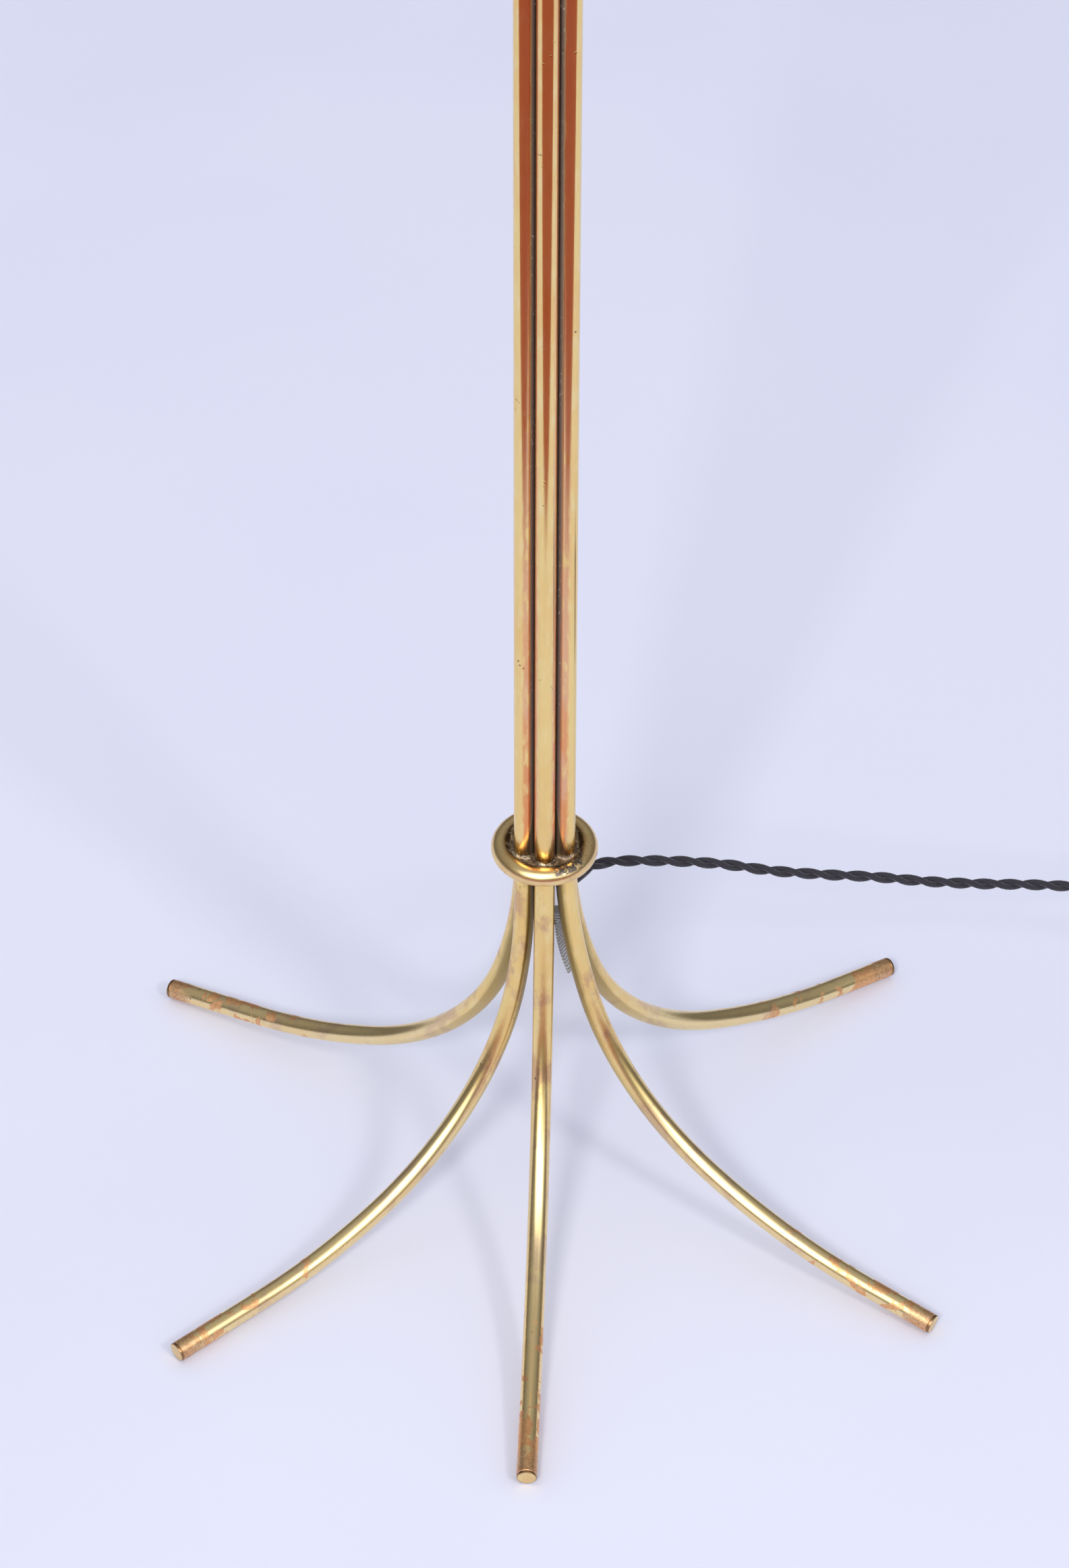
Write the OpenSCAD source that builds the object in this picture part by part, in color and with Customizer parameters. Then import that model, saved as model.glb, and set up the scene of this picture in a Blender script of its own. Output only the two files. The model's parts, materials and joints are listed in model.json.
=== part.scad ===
// Brass floor lamp: six long tubes bundled round a centre tube, bound by a ring near the
// floor, below which each tube bends outwards to become a foot. Millimetres, +Z up, origin on
// the floor under the stem's axis, one foot straight towards -Y.

/* [Stem] */
// Outer diameter of each of the six leg tubes
tube_d = 10; // [8:0.5:12]
// Wall of each leg tube
tube_wall = 1; // [0.8:0.1:1.4]
// Outer diameter of the centre tube that carries the flex
core_d = 12.7; // [12:0.1:16]
// Bore of the centre tube
core_bore = 10; // [9.4:0.1:10.4]
// Height of the tops of the tubes
stem_top = 1300; // [900:10:1500]
// Diameter of the rod that each binding ring is bent from
ring_rod_d = 9.6; // [6:0.5:12]
// Height of the upper binding ring's centre
upper_ring_z = 1262; // [800:1:1280]

/* [Feet] */
// Radius of each foot's first, long bend, from the front foot anticlockwise seen from above
first_bend_r = [290, 284, 291, 290, 274, 262]; // [255:1:320] each
// Angle of each foot's first bend
first_bend_angle = [19, 18.7, 19.1, 19, 17.3, 11.2]; // [11:0.1:22] each
// Radius of each foot's second, tight bend
second_bend_r = [150, 153, 150, 150, 145, 145]; // [130:1:180] each
// Angle of each foot's second bend
second_bend_angle = [45, 42.7, 46.4, 45, 47.4, 57]; // [40:0.1:58] each
// Radius of each foot's last, flat bend
last_bend_r = [250, 266, 290, 250, 241, 233]; // [220:1:300] each
// Angle of each foot's last bend
last_bend_angle = [19, 21.2, 16.8, 19, 18.2, 18.9]; // [15:0.1:22] each
// Straight end of each foot
foot_tails = [41, 39.2, 36.4, 41, 53, 51.8]; // [35:0.1:58] each
// Turn of each foot about its own tube, as bent by hand, anticlockwise, in degrees
foot_turns = [-2.3, -2.8, 5.2, 0, 0.4, 8.6]; // [-9:0.1:9] each

/* [Lampholder and bulb] */
// Outside diameter of the lampholder's barrel
holder_d = 38; // [36:1:42]
// Travel of the push-through switch bar
switch_travel = 5; // [3:0.5:6]
// Largest diameter of the bulb
bulb_d = 60; // [45:1:80]

/* [Shade] */
// Diameter of the shade at its lower edge
shade_bottom_d = 420; // [340:10:480]
// Diameter of the shade at its upper edge
shade_top_d = 260; // [180:10:320]
// Height of the shade
shade_h = 280; // [220:10:340]
// Diameter of the shade's wire
wire_d = 3; // [2:0.5:4]

/* [Flex and plug] */
// Diameter over the twisted pair of strands
cord_d = 6; // [5:0.5:7]
// Height of the lower end of the flex's sleeve
sleeve_end_z = 179; // [175:1:185]
// Turns in each of the two layers of the coil
coil_turns = 3.5; // [2:0.5:5]
// Diameter of the plug's pins
pin_d = 4; // [4:0.8:4.8]
// Length of the plug's pins outside the plug
pin_length = 18; // [17:0.5:19]

/* [Hidden] */
$fn = 72;

leg_names = ["front", "front_right", "back_right", "back", "back_left", "front_left"];
leg_count = 6;
clear = 0.1;                    // gap left between parts that touch on the real lamp
tube_r = tube_d / 2;
tube_bore_r = tube_r - tube_wall;
bundle_r = (core_d + tube_d) / 2 + clear;          // circle that the leg tubes stand on
ring_r = bundle_r + tube_r + clear + ring_rod_d / 2;
foot_plug_t = 1.5;              // thickness of the disc that closes each foot
foot_plug_spigot = 8;           // length of the disc's spigot inside the tube

function leg_angle(i) = -90 + i * 360 / leg_count;

// The bent path of leg i: turn from the vertical, and [out, up] from where the bend begins
bends = 3;
function bend_r(i) = [first_bend_r[i], second_bend_r[i], last_bend_r[i]];
function bend_a(i) = [first_bend_angle[i], second_bend_angle[i], last_bend_angle[i]];
function turn_at(i, k) = k == 0 ? 0 : turn_at(i, k - 1) + bend_a(i)[k - 1];
function arc_step(i, k, t) = bend_r(i)[k] * [cos(turn_at(i, k)) - cos(t), sin(turn_at(i, k)) - sin(t)];
function path_at(i, k) =
    k == 0 ? [0, 0] : path_at(i, k - 1) + arc_step(i, k - 1, turn_at(i, k));
function end_turn(i) = turn_at(i, bends);
// Height at which a leg starts to bend, so that the lower edge of its foot stands on z = 0
function bend_z(i) =
    foot_tails[i] * cos(end_turn(i)) + tube_r * sin(end_turn(i)) - path_at(i, bends)[1];
ring_z = bend_z(3);             // the lower ring sits where the back leg starts to bend
straight_z = ring_z + 3;        // above this every leg is vertical

core_bottom = 207;
nipple_d = core_bore - clear;
nipple_bore = 7.5;

// Top fittings, stacked on the tubes
cap_skirt = 8;
cap_plate = 4;
cap_r = bundle_r + tube_r + 2.5;
nut_t = 4;
collar_z = stem_top + cap_plate + nut_t;
collar_h = 12;
holder_z = collar_z + collar_h;
holder_cap_h = 22;
holder_r = holder_d / 2;
holder_wall = 1;
holder_h = 62;
switch_z = holder_z + 30;
insulator_z = holder_z + 24;
shell_z = holder_z + 38;
switch_bar_d = 4;
button_r = 4;
button_t = 4;

bulb_cap_r = 13.3;
bulb_z = shell_z + 3;           // lower tip of the bulb
bulb_cap_h = 25;
glass_t = 0.8;
bulb_r = bulb_d / 2;
bulb_h = 107;

shade_seat_z = holder_z + 48;   // the carrier lies between the two shade nuts
seat_t = 1.5;
shade_nut_h = 4;
shade_z = shade_seat_z - 38;    // lower edge of the shade
cover_t = 1;
wire_r = wire_d / 2;

cord_r = cord_d / 2;
// Route of the flex's centre from the sleeve, out between two back legs, through the air
// to the right and down to the floor beside the coil
route = [
    [0, 0, sleeve_end_z], [0, 0, sleeve_end_z - 3], [0.7, 1.3, 167.8], [2.8, 4.8, 160.6],
    [6, 10.4, 155.2], [9.9, 17.1, 152.5], [12.8, 30, 152.8], [17.3, 42, 154.3], [25, 50, 153.3],
    [36, 56, 151], [62, 59.5, 148], [90, 63.5, 142], [116, 67, 134], [143, 70.5, 128],
    [169, 74, 123], [196, 77.5, 116.5], [224, 81.5, 111], [252, 85.5, 106.5], [280, 90, 100],
    [307, 94.5, 90], [332, 99.5, 75], [355, 104.5, 56], [375, 109, 36], [392, 113.5, 20],
    [407, 117.5, 8.5], [420, 120, cord_r + 0.4]
];
coil_r = 34.5;                  // middle of the turns
coil_out_r = coil_r + cord_d * coil_turns / 2;     // the outermost turn's centre line
coil_in_r = coil_r - cord_d * coil_turns / 2;
coil_at = [440, 121 - coil_out_r];
coil_h = 2 * cord_d;
plug_at = [coil_at[0] + coil_out_r, coil_at[1] - 50];   // where the flex enters the plug
plug_h = 16;
plug_w = 34;
plug_l = 40;
pin_gap = 19;                   // distance between the pins
sleeve_l = 18;
tail_route = [
    [plug_at[0], coil_at[1], cord_d * 1.5], [plug_at[0], coil_at[1] - 10, cord_d * 1.5],
    [plug_at[0], plug_at[1] + sleeve_l + 8, plug_h / 2], [plug_at[0], plug_at[1] + sleeve_l, plug_h / 2]
];

// ---------------------------------------------------------------- shared shapes

// A bar of the child's 2D section bent upwards from the direction `from`, degrees off straight
// down, in the XZ plane; `at` is [x, z] of its start
module bent(at, r, from, angle) {
    centre = at + r * [cos(from), sin(from)];
    translate([centre[0], 0, centre[1]])
        rotate([90, 0, 0])
            rotate([0, 0, 180 + from])
                rotate_extrude(angle = angle)
                    translate([r, 0]) children();
}

module annulus(r_out, r_in) {
    difference() {
        circle(r = r_out);
        circle(r = r_in);
    }
}

module pipe(r_out, r_in, h) {
    linear_extrude(h) annulus(r_out, r_in);
}

// A torus round the axis
module hoop(r, rod_r) {
    rotate_extrude() translate([r, 0]) circle(r = rod_r);
}

module straight_tubes(z, h, r) {
    for (i = [0 : leg_count - 1])
        rotate([0, 0, leg_angle(i)])
            translate([bundle_r, 0, z]) cylinder(r = r, h = h);
}

// Places children at the end of leg i's last bend, with -Z along the foot
module at_foot(i) {
    drop = path_at(i, bends);
    rotate([0, 0, leg_angle(i)]) translate([bundle_r, 0, 0])
        rotate([0, 0, foot_turns[i]])
            translate([drop[0], 0, bend_z(i) + drop[1]])
                rotate([0, -end_turn(i), 0])
                    children();
}

// Points of a smooth curve through the route's points
function spline(a, b, c, d, t) =
    0.5 * ((2 * b) + (c - a) * t + (2 * a - 5 * b + 4 * c - d) * t * t
           + (3 * b - a - 3 * c + d) * t * t * t);
function clampi(i, n) = min(max(i, 0), n - 1);
function curve(p, steps) = [
    for (i = [0 : len(p) - 2]) for (s = [0 : steps - 1])
        spline(p[clampi(i - 1, len(p))], p[i], p[i + 1], p[clampi(i + 2, len(p))], s / steps),
    p[len(p) - 1]
];
function unit(v) = v / norm(v);
function heading(p, i) = unit(p[clampi(i + 1, len(p))] - p[clampi(i - 1, len(p))]);
function side(t) = unit(abs(t[2]) > 0.9 ? cross(t, [1, 0, 0]) : cross(t, [0, 0, 1]));
// Sections keep their side vector from ring to ring, so that the tube doesn't twist
function carried(s, t) = unit(s - t * (s * t));
function sides(p, i) = i == 0 ? [side(heading(p, 0))]
    : let (before = sides(p, i - 1)) concat(before, [carried(before[i - 1], heading(p, i))]);

module swept(p, r, n = 10) {
    s = sides(p, len(p) - 1);
    points = [
        for (i = [0 : len(p) - 1])
            let (t = heading(p, i), u = s[i], v = cross(t, u))
                for (k = [0 : n - 1])
                    p[i] + r * (u * cos(360 * k / n) + v * sin(360 * k / n))
    ];
    walls = [
        for (i = [0 : len(p) - 2]) for (k = [0 : n - 1])
            [i * n + k, i * n + (k + 1) % n, (i + 1) * n + (k + 1) % n, (i + 1) * n + k]
    ];
    start = [for (k = [n - 1 : -1 : 0]) k];
    end = [for (k = [0 : n - 1]) (len(p) - 1) * n + k];
    polyhedron(points = points, faces = concat(walls, [start, end]), convexity = 6);
}

// Stations [out, up, turn from straight down] along the three bends of leg i
function bend_stations(i) = [
    for (k = [0 : bends - 1])
        let (steps = ceil(bend_a(i)[k] / 5))
            for (j = [k == 0 ? 0 : 1 : steps])
                let (t = turn_at(i, k) + bend_a(i)[k] * j / steps, p = path_at(i, k) + arc_step(i, k, t))
                    [p[0], p[1], t]
];

// A pipe through stations that lie in the XZ plane
module swept_pipe(stations, r_out, r_in, n) {
    m = len(stations);
    points = [
        for (r = [r_out, r_in]) for (p = stations) for (k = [0 : n - 1])
            let (a = r * cos(360 * k / n))
                [p[0] + a * cos(p[2]), r * sin(360 * k / n), p[1] + a * sin(p[2])]
    ];
    skins = [
        for (i = [0 : m - 2]) for (k = [0 : n - 1])
            let (a = i * n + k, b = i * n + (k + 1) % n)
                for (face = [[a, b, b + n, a + n], [a + n + m * n, b + n + m * n, b + m * n, a + m * n]])
                    face
    ];
    ends = [
        for (k = [0 : n - 1])
            let (a = k, b = (k + 1) % n, top = m * n, last = (m - 1) * n)
                for (face = [[b, a, a + top, b + top],
                             [a + last, b + last, b + last + top, a + last + top]])
                    face
    ];
    polyhedron(points = points, faces = concat(skins, ends), convexity = 6);
}

// ---------------------------------------------------------------- stem and feet

module leg(i) {
    top = [0, stem_top - bend_z(i), 0];
    end = end_turn(i);
    foot = path_at(i, bends) + (foot_tails[i] - foot_plug_t) * [sin(end), -cos(end)];
    stations = concat([top], bend_stations(i), [[foot[0], foot[1], end]]);
    color("#c8a45c")
        rotate([0, 0, leg_angle(i)]) translate([bundle_r, 0, 0])
            rotate([0, 0, foot_turns[i]]) translate([0, 0, bend_z(i)])
                swept_pipe(stations, tube_r, tube_bore_r, 24);
}

module foot_plug(i) {
    color("#cdb06a")
        at_foot(i) translate([0, 0, -foot_tails[i]]) {
            cylinder(r = tube_r, h = foot_plug_t);
            cylinder(r = tube_bore_r - clear, h = foot_plug_t + foot_plug_spigot);
        }
}

module centre_tube() {
    color("#a8874a")
        translate([0, 0, core_bottom])
            pipe(core_d / 2, core_bore / 2, stem_top - core_bottom);
}

module binding_ring(z) {
    color("#c29a4e") translate([0, 0, z]) hoop(ring_r, ring_rod_d / 2);
}

// Hard solder that fills the space between the tubes inside a binding ring
module braze(z) {
    web = 3;
    color("#4a3b28")
        difference() {
            translate([0, 0, z]) cylinder(r = ring_r - 2, h = web);
            translate([0, 0, z - 1]) cylinder(r = core_d / 2 + 0.02, h = web + 2);
            straight_tubes(z - 1, web + 2, tube_r + 0.02);
            translate([0, 0, z - 2]) hoop(ring_r, ring_rod_d / 2 + 0.02);
        }
}

// ---------------------------------------------------------------- where the flex leaves

module flex_sleeve() {
    nose = core_bottom - sleeve_end_z;
    flange = 3;
    color("#1c1c1e")
        translate([0, 0, sleeve_end_z])
            rotate_extrude()
                polygon([
                    [cord_r + 0.1, 0], [4, 0], [4.4, 1], [5.6, nose - flange - 1],
                    [core_d / 2, nose - flange], [core_d / 2, nose], [core_bore / 2 - 0.05, nose],
                    [core_bore / 2 - 0.05, nose + 9], [cord_r + 0.1, nose + 9]
                ]);
}

// A nylon tie pulled tight round the flex below its sleeve, its cut end hanging down
module cable_tie() {
    strap_w = 4.6;
    strap_t = 1.1;
    lean = route[3] - route[1];
    head_at = [6.8, 1, 168.5];
    tail_r = 80;
    color("#d8dadb") {
        translate(route[2])
            rotate([0, acos(lean[2] / norm(lean)), atan2(lean[1], lean[0])])
                translate([0, 0, -strap_w / 2])
                    pipe(cord_r + 0.2 + strap_t, cord_r + 0.2, strap_w);
        translate(head_at) cube([4.6, 4.8, 5.4], center = true);
        translate([head_at[0], head_at[1], 0]) rotate([0, 0, -30])
            bent([0, head_at[2] - 2.5], tail_r, 0, 25)
                square([strap_t, strap_w], center = true);
    }
}

module inner_flex() {
    top = holder_z + 12;
    core_wire_r = 1.3;
    color("#2a2626") {
        translate([0, 0, sleeve_end_z]) cylinder(r = cord_r, h = top - sleeve_end_z);
        for (s = [-1, 1])
            translate([s * 1.6, 0, top - 1]) cylinder(r = core_wire_r, h = insulator_z - top + 1);
    }
}

// ---------------------------------------------------------------- top fittings

module top_cap() {
    skirt_r = bundle_r + tube_r + clear;
    color("#c8a45c")
        translate([0, 0, stem_top - cap_skirt])
            rotate_extrude()
                polygon([
                    [skirt_r, 0], [cap_r, 0], [cap_r, cap_skirt + cap_plate - 2],
                    [cap_r - 2, cap_skirt + cap_plate], [nipple_d / 2 + clear, cap_skirt + cap_plate],
                    [nipple_d / 2 + clear, cap_skirt + 0.05], [skirt_r, cap_skirt + 0.05]
                ]);
}

module top_nut() {
    across_corners = 17;
    color("#b8934a")
        translate([0, 0, stem_top + cap_plate])
            difference() {
                cylinder(d = across_corners, h = nut_t - 0.05, $fn = 6);
                translate([0, 0, -1]) cylinder(r = nipple_d / 2 + 0.02, h = nut_t + 2);
            }
}

module nipple() {
    below = 18;
    above = 9;
    color("#b8934a")
        translate([0, 0, stem_top - below])
            pipe(nipple_d / 2, nipple_bore / 2, holder_z + above - stem_top + below);
}

module collar() {
    color("#c8a45c")
        translate([0, 0, collar_z])
            rotate_extrude()
                polygon([
                    [nipple_d / 2 + clear, 0], [9, 0], [10, 1], [10, 3], [7.5, 5.5], [7.5, 7.5],
                    [9, 9.5], [9, collar_h - 0.05], [nipple_d / 2 + clear, collar_h - 0.05]
                ]);
}

module holder_cap() {
    inner = holder_r - 1.2;
    color("#c29a4e")
        translate([0, 0, holder_z])
            rotate_extrude()
                polygon([
                    [nipple_d / 2 + clear, 0], [8.5, 0], [9.5, 1.5], [9.5, 5], [14, 9],
                    [17.5, 13.5], [holder_r, 19], [holder_r, holder_cap_h], [inner, holder_cap_h],
                    [inner, 19.4], [16.2, 14.2], [13, 10], [8.5, 6.5], [8.5, 4],
                    [nipple_d / 2 + clear, 4]
                ]);
}

module holder_barrel() {
    z = holder_z + holder_cap_h + 0.05;
    top = holder_z + holder_h;
    hole_r = switch_bar_d / 2 + 0.4;
    color("#c29a4e")
        difference() {
            union() {
                translate([0, 0, z]) pipe(holder_r, holder_r - holder_wall, top - z);
                translate([0, 0, top - 2]) pipe(holder_r + 0.6, holder_r - holder_wall, 2);
            }
            translate([-holder_r - 2, 0, switch_z]) rotate([0, 90, 0])
                cylinder(r = hole_r, h = holder_d + 4);
        }
}

module holder_insulator() {
    h = shell_z - insulator_z;
    r = holder_r - holder_wall - 0.1;
    color("#e6e0d2")
        difference() {
            translate([0, 0, insulator_z]) cylinder(r = r, h = h - 0.05);
            translate([-holder_r, 0, switch_z]) rotate([0, 90, 0])
                cylinder(r = switch_bar_d / 2 + 0.06, h = holder_d);
            for (s = [-1, 1])
                translate([0, s * 11, insulator_z - 1]) cylinder(r = 1.7, h = h + 2);
        }
}

module holder_screw_shell() {
    r = bulb_cap_r + 0.3;
    color("#c9a85e")
        translate([0, 0, shell_z]) pipe(r + 0.5, r, 21);
}

module holder_contact() {
    color("#c9a85e")
        translate([0, 0, shell_z]) {
            cylinder(r = 5, h = 0.8);
            cylinder(r = 3, h = 2.5);
        }
}

module terminal_screws() {
    color("#b7b7b3")
        for (s = [-1, 1])
            translate([0, s * 11, insulator_z]) {
                translate([0, 0, -2]) cylinder(r = 2.8, h = 1.95);
                translate([0, 0, -0.5]) cylinder(r = 1.5, h = 11);
            }
}

module shade_nut(z) {
    color("#c29a4e")
        translate([0, 0, z])
            difference() {
                pipe(holder_r + 5, holder_r + clear, shade_nut_h - 0.05);
                for (k = [0 : 11])
                    rotate([0, 0, 30 * k]) translate([holder_r + 5.6, 0, -1])
                        cylinder(r = 1.2, h = shade_nut_h + 2);
            }
}

// At rest the bar is pushed towards -X's far side: its +X end stands out by the travel
module switch_bar() {
    reach = holder_r + 0.4;
    color("#c9a85e")
        translate([-reach, 0, switch_z]) rotate([0, 90, 0])
            cylinder(r = switch_bar_d / 2, h = 2 * reach + switch_travel);
}

module switch_button(s) {
    face = holder_r + 0.4 + (s > 0 ? switch_travel : 0);
    color("#241c18")
        translate([s * face, 0, switch_z]) rotate([0, s * 90, 0])
            rotate_extrude()
                polygon([[0, 0], [button_r, 0], [button_r, button_t - 1.2],
                         [button_r - 1.2, button_t], [0, button_t]]);
}

module bulb_cap() {
    color("#d2c8a8")
        translate([0, 0, bulb_z])
            rotate_extrude()
                polygon([
                    [0, 0], [3.5, 0], [4, 1], [10.5, 4], [bulb_cap_r, 5.5],
                    [bulb_cap_r, bulb_cap_h], [bulb_cap_r - 0.6, bulb_cap_h],
                    [bulb_cap_r - 0.6, 7], [0, 7]
                ]);
}

// Half outline of the glass, a pear shape: a ball that runs down into the neck
module bulb_outline(inset) {
    ball_z = bulb_h - bulb_r;
    neck_r = bulb_cap_r - 0.8 - inset;
    lip = bulb_cap_h - 10;
    intersection() {
        union() {
            translate([0, ball_z]) circle(r = bulb_r - inset);
            polygon([[0, lip], [neck_r, lip], [neck_r, bulb_cap_h + 3],
                     [neck_r + 3, bulb_cap_h + 14],
                     [(bulb_r - inset) * cos(35), ball_z - (bulb_r - inset) * sin(35)],
                     [0, ball_z]]);
        }
        translate([0, lip + inset]) square([bulb_d, bulb_h]);
    }
}

module bulb_glass() {
    color("#f2efe6")
        translate([0, 0, bulb_z])
            rotate_extrude()
                difference() {
                    bulb_outline(0);
                    bulb_outline(glass_t);
                }
}

module bulb_stem() {
    foot = bulb_cap_h - 8;
    color("#dfe6e4")
        translate([0, 0, bulb_z + foot]) {
            cylinder(r1 = 8, r2 = 3, h = 14);
            translate([0, 0, 14]) cylinder(r = 3, h = 20);
            translate([0, 0, 34]) cylinder(r = 0.8, h = 22);
        }
}

module bulb_filament() {
    z = bulb_z + bulb_cap_h + 47;
    arc = 9;
    color("#555555") {
        translate([0, 0, z])
            rotate_extrude(angle = 300) translate([arc, 0]) circle(r = 0.4);
        for (a = [0, 300])
            rotate([0, 0, a]) translate([arc, 0, z - 27]) cylinder(r = 0.35, h = 27);
    }
}

// ---------------------------------------------------------------- shade

function shade_r(z) = shade_bottom_d / 2
    - (shade_bottom_d - shade_top_d) / 2 * (z - shade_z) / shade_h;

module shade_carrier() {
    z_low = shade_z + wire_d;
    hoop_r = shade_r(z_low) - cover_t - wire_r - 0.4;
    seat_r = holder_r + 9;
    arm_from = [seat_r - 2, shade_seat_z + seat_t / 2];
    arm_to = [hoop_r, z_low];
    run = arm_to - arm_from;
    color("#cfcabd") {
        translate([0, 0, z_low]) hoop(hoop_r, wire_r);
        translate([0, 0, shade_seat_z + 0.02])
            pipe(seat_r, holder_r + 0.5, seat_t - 0.07);
        for (k = [0 : 2])
            rotate([0, 0, 30 + 120 * k]) translate([arm_from[0], 0, arm_from[1]])
                rotate([0, atan2(run[0], run[1]), 0]) cylinder(r = wire_r - 0.3, h = norm(run));
    }
}

module shade_top_ring() {
    z = shade_z + shade_h - wire_d;
    color("#cfcabd")
        translate([0, 0, z]) hoop(shade_r(z) - cover_t - wire_r - 0.4, wire_r);
}

module shade_cover() {
    color("#efe6d2")
        rotate_extrude()
            polygon([
                [shade_bottom_d / 2 - cover_t, shade_z], [shade_bottom_d / 2, shade_z],
                [shade_top_d / 2, shade_z + shade_h], [shade_top_d / 2 - cover_t, shade_z + shade_h]
            ], $fn = 180);
}

// ---------------------------------------------------------------- flex, coil and plug

module cord() {
    color("#202022") swept(curve(route, 3), cord_r);
}

module cord_tail() {
    color("#202022") swept(curve(tail_route, 2), cord_r);
}

// The coil's outer shape, notched where its tie passes under it
module cord_coil() {
    color("#202022")
        translate([coil_at[0], coil_at[1], 0])
            difference() {
                rotate_extrude()
                    translate([coil_in_r - cord_r, 0])
                        square([coil_out_r - coil_in_r + cord_d, coil_h]);
                translate([-5, -coil_out_r - 10, -1]) cube([10, 40, 2.2]);
            }
}

module coil_tie() {
    strap = 8;
    t = 0.8;
    gap = 0.2;
    span = coil_out_r - coil_in_r + cord_d + 4 * gap;
    color("#3a3a3c")
        translate([coil_at[0] - strap / 2, coil_at[1] - coil_out_r - cord_r - gap, 0])
            difference() {
                translate([0, -t, 0]) cube([strap, span + 2 * t, coil_h + gap + t]);
                translate([-1, 0, t]) cube([strap + 2, span, coil_h + gap - t]);
            }
}

// Local frame of the plug: the flex enters at the origin, the pins point along +Y
module at_plug() {
    translate([plug_at[0], plug_at[1], 0]) rotate([0, 0, 180]) children();
}

module plug_outline() {
    corner = 4;
    rear = 7;
    waist = 14;
    shoulder = 24;
    polygon([[-rear, 0], [rear, 0], [rear, waist], [plug_w / 2, shoulder],
             [plug_w / 2, plug_l - corner], [-plug_w / 2, plug_l - corner],
             [-plug_w / 2, shoulder], [-rear, waist]]);
    translate([-plug_w / 2 + corner, plug_l - 2 * corner])
        square([plug_w - 2 * corner, 2 * corner]);
    for (s = [-1, 1])
        translate([s * (plug_w / 2 - corner), plug_l - corner]) circle(r = corner);
}

// The space inside the plug: flex channel, wiring room, pin seats and screw hole
module plug_space() {
    mid = plug_h / 2;
    translate([0, -1, mid]) rotate([-90, 0, 0]) cylinder(r = cord_r + 0.2, h = 16);
    translate([-12, 14.5, mid - 4]) cube([24, 9, 8]);
    for (s = [-1, 1])
        translate([s * pin_gap / 2, 20, mid]) rotate([-90, 0, 0])
            cylinder(r = pin_d / 2 + 0.85, h = plug_l);
    translate([0, 31, -1]) cylinder(r = 1.6, h = plug_h + 2);
}

module plug_base() {
    color("#1a1a1c") at_plug()
        difference() {
            linear_extrude(plug_h / 2 - 0.02) plug_outline();
            plug_space();
        }
}

module plug_cover() {
    chamfer = 1.5;
    color("#1a1a1c") at_plug()
        difference() {
            translate([0, 0, plug_h / 2 + 0.02])
                linear_extrude(plug_h / 2 - 0.02) plug_outline();
            plug_space();
            translate([0, 31, plug_h - 2.2]) cylinder(r = 3.2, h = 4);
            for (s = [-1, 1])
                translate([s * plug_w / 2, 0, plug_h]) rotate([-90, 0, 0]) rotate([0, 0, 45])
                    translate([-chamfer, -chamfer, 20]) cube([2 * chamfer, 2 * chamfer, plug_l]);
        }
}

module plug_pin(s) {
    mid = plug_h / 2;
    shank_r = pin_d / 2 + 0.8;
    nose = 1;
    color("#cfc9b8") at_plug()
        translate([s * pin_gap / 2, 0, mid]) rotate([-90, 0, 0]) {
            translate([0, 0, 21]) cylinder(r = shank_r, h = plug_l - 21);
            translate([0, 0, plug_l]) cylinder(r = pin_d / 2, h = pin_length);
            translate([0, 0, plug_l + pin_length])
                cylinder(r1 = pin_d / 2, r2 = pin_d / 2 - nose, h = nose);
        }
}

module plug_screw() {
    color("#b7b7b3") at_plug()
        translate([0, 31, 0])
            difference() {
                union() {
                    translate([0, 0, 1.5]) cylinder(r = 1.5, h = plug_h - 3.5);
                    translate([0, 0, plug_h - 2.15]) cylinder(r = 2.9, h = 1.6);
                }
                translate([-4, -0.4, plug_h - 1.3]) cube([8, 0.8, 2]);
            }
}

module plug_sleeve() {
    mid = plug_h / 2;
    color("#1c1c1e") at_plug()
        translate([0, -sleeve_l, mid]) rotate([-90, 0, 0])
            rotate_extrude()
                polygon([[cord_r + 0.1, 0], [4, 0], [6.4, sleeve_l - 4], [6.4, sleeve_l - 0.05],
                         [cord_r + 0.1, sleeve_l - 0.05]]);
}

for (i = [0 : leg_count - 1]) {
    leg(i);
    foot_plug(i);
}
centre_tube();
binding_ring(ring_z);  // lower_ring
braze(straight_z);  // lower_braze
binding_ring(upper_ring_z);  // upper_ring
braze(upper_ring_z + 2);  // upper_braze
flex_sleeve();
cable_tie();
inner_flex();
top_cap();
top_nut();
nipple();
collar();
holder_cap();
holder_barrel();
holder_insulator();
holder_screw_shell();
holder_contact();
terminal_screws();
shade_nut(shade_seat_z - shade_nut_h);  // shade_nut_lower
shade_nut(shade_seat_z + seat_t);  // shade_nut_upper
switch_bar();
switch_button(-1);  // switch_button_left
switch_button(1);  // switch_button_right
bulb_cap();
bulb_glass();
bulb_stem();
bulb_filament();
shade_carrier();
shade_top_ring();
shade_cover();
cord();
cord_coil();
cord_tail();
coil_tie();
plug_base();
plug_cover();
plug_pin(-1);  // plug_pin_left
plug_pin(1);  // plug_pin_right
plug_screw();
plug_sleeve();
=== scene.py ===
"""Brass floor lamp with six splayed feet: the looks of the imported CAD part."""
import json
import math

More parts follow.
